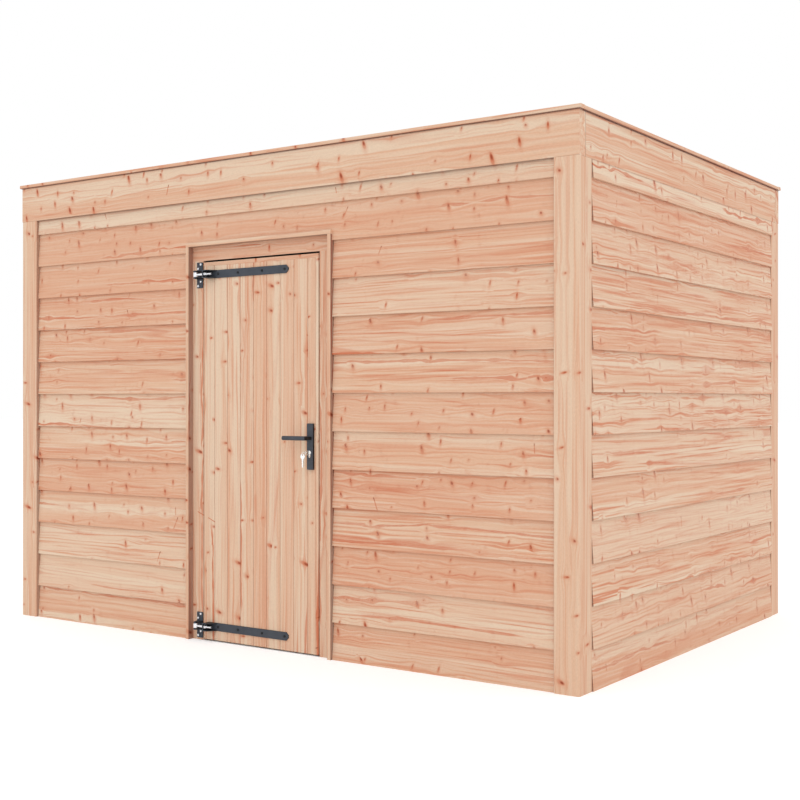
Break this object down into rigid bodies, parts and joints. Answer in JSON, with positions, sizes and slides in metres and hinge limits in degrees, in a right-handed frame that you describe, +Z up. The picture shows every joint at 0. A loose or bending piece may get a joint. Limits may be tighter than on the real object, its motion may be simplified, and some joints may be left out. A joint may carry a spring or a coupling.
{
  "type": "wooden garden shed",
  "caption": "Timber garden shed with square corner posts, lapped horizontal boards, a flat roof behind fascias and an outward-opening plank door.",
  "frame": {"origin": "on the ground at the middle of the four corner posts", "axes": "+X along the door wall, to the right seen from outside; +Y from the door wall to the rear wall; +Z up"},
  "size_m": [3.52, 2.5415, 2.43],
  "materials": {
    "post_wood": "planed softwood, vertical grain",
    "board_wood": "planed softwood boards, horizontal grain",
    "trim_wood": "planed softwood, eased edges",
    "frame_wood": "sawn softwood framing",
    "door_wood": "planed softwood planks, vertical grain",
    "deck_wood": "plywood deck",
    "roof_rubber": "matte black rubber sheet",
    "seal_rubber": "matte black seal",
    "threshold_metal": "dull mill finish",
    "hinge_black": "matte black powder coat",
    "zinc": "bright zinc plate",
    "lock_black": "matte black powder coat",
    "nickel": "satin nickel"
  },
  "bodies": {
    "shed": {"post_front_left": "post_wood", "post_front_right": "post_wood", "post_rear_left": "post_wood", "post_rear_right": "post_wood", "ring_beams_long": "frame_wood", "ring_beams_short": "frame_wood", "roof_joists": "frame_wood", "roof_deck": "deck_wood", "roof_sheet": "roof_rubber", "fascia_front": "trim_wood", "fascia_rear": "trim_wood", "fascia_left": "trim_wood", "fascia_right": "trim_wood", "trim_laths_long": "trim_wood", "trim_laths_short": "trim_wood", "boards_front_left": "board_wood", "boards_front_right": "board_wood", "boards_over_door": "board_wood", "boards_rear": "board_wood", "boards_left": "board_wood", "boards_right": "board_wood", "wall_studs": "frame_wood", "wall_rails": "frame_wood", "casing_sides": "trim_wood", "casing_head": "trim_wood", "door_jamb_hinge_side": "trim_wood", "door_jamb_lock_side": "trim_wood", "door_frame_head": "trim_wood", "door_head_seal": "seal_rubber", "threshold": "threshold_metal", "hinge_brackets": "hinge_black"},
    "door": {"door_planks": "door_wood", "door_edge_laths": "door_wood", "door_top_lath": "door_wood", "door_stiles": "frame_wood", "door_rails": "frame_wood", "door_braces": "frame_wood", "hinge_straps": "hinge_black", "hinge_eyebolts": "zinc", "lock_plate_outside": "lock_black", "lock_plate_inside": "lock_black", "lock_cylinder": "nickel", "keys": "nickel"},
    "handle": {"lever_handle": "lock_black"}
  },
  "joints": [
    {"name": "door_hinge", "type": "hinge", "parent": "shed", "child": "door", "pos_m": [-0.4025, -1.251, 1], "axis": [0, 0, -1], "range_deg": [0, 150]},
    {"name": "handle_turn", "type": "hinge", "parent": "door", "child": "handle", "pos_m": [0.319, -1.216, 1.035], "axis": [0, -1, 0], "range_deg": [0, 40], "stiffness_Nm_per_rad": 2, "springref_deg": -17.19}
  ]
}
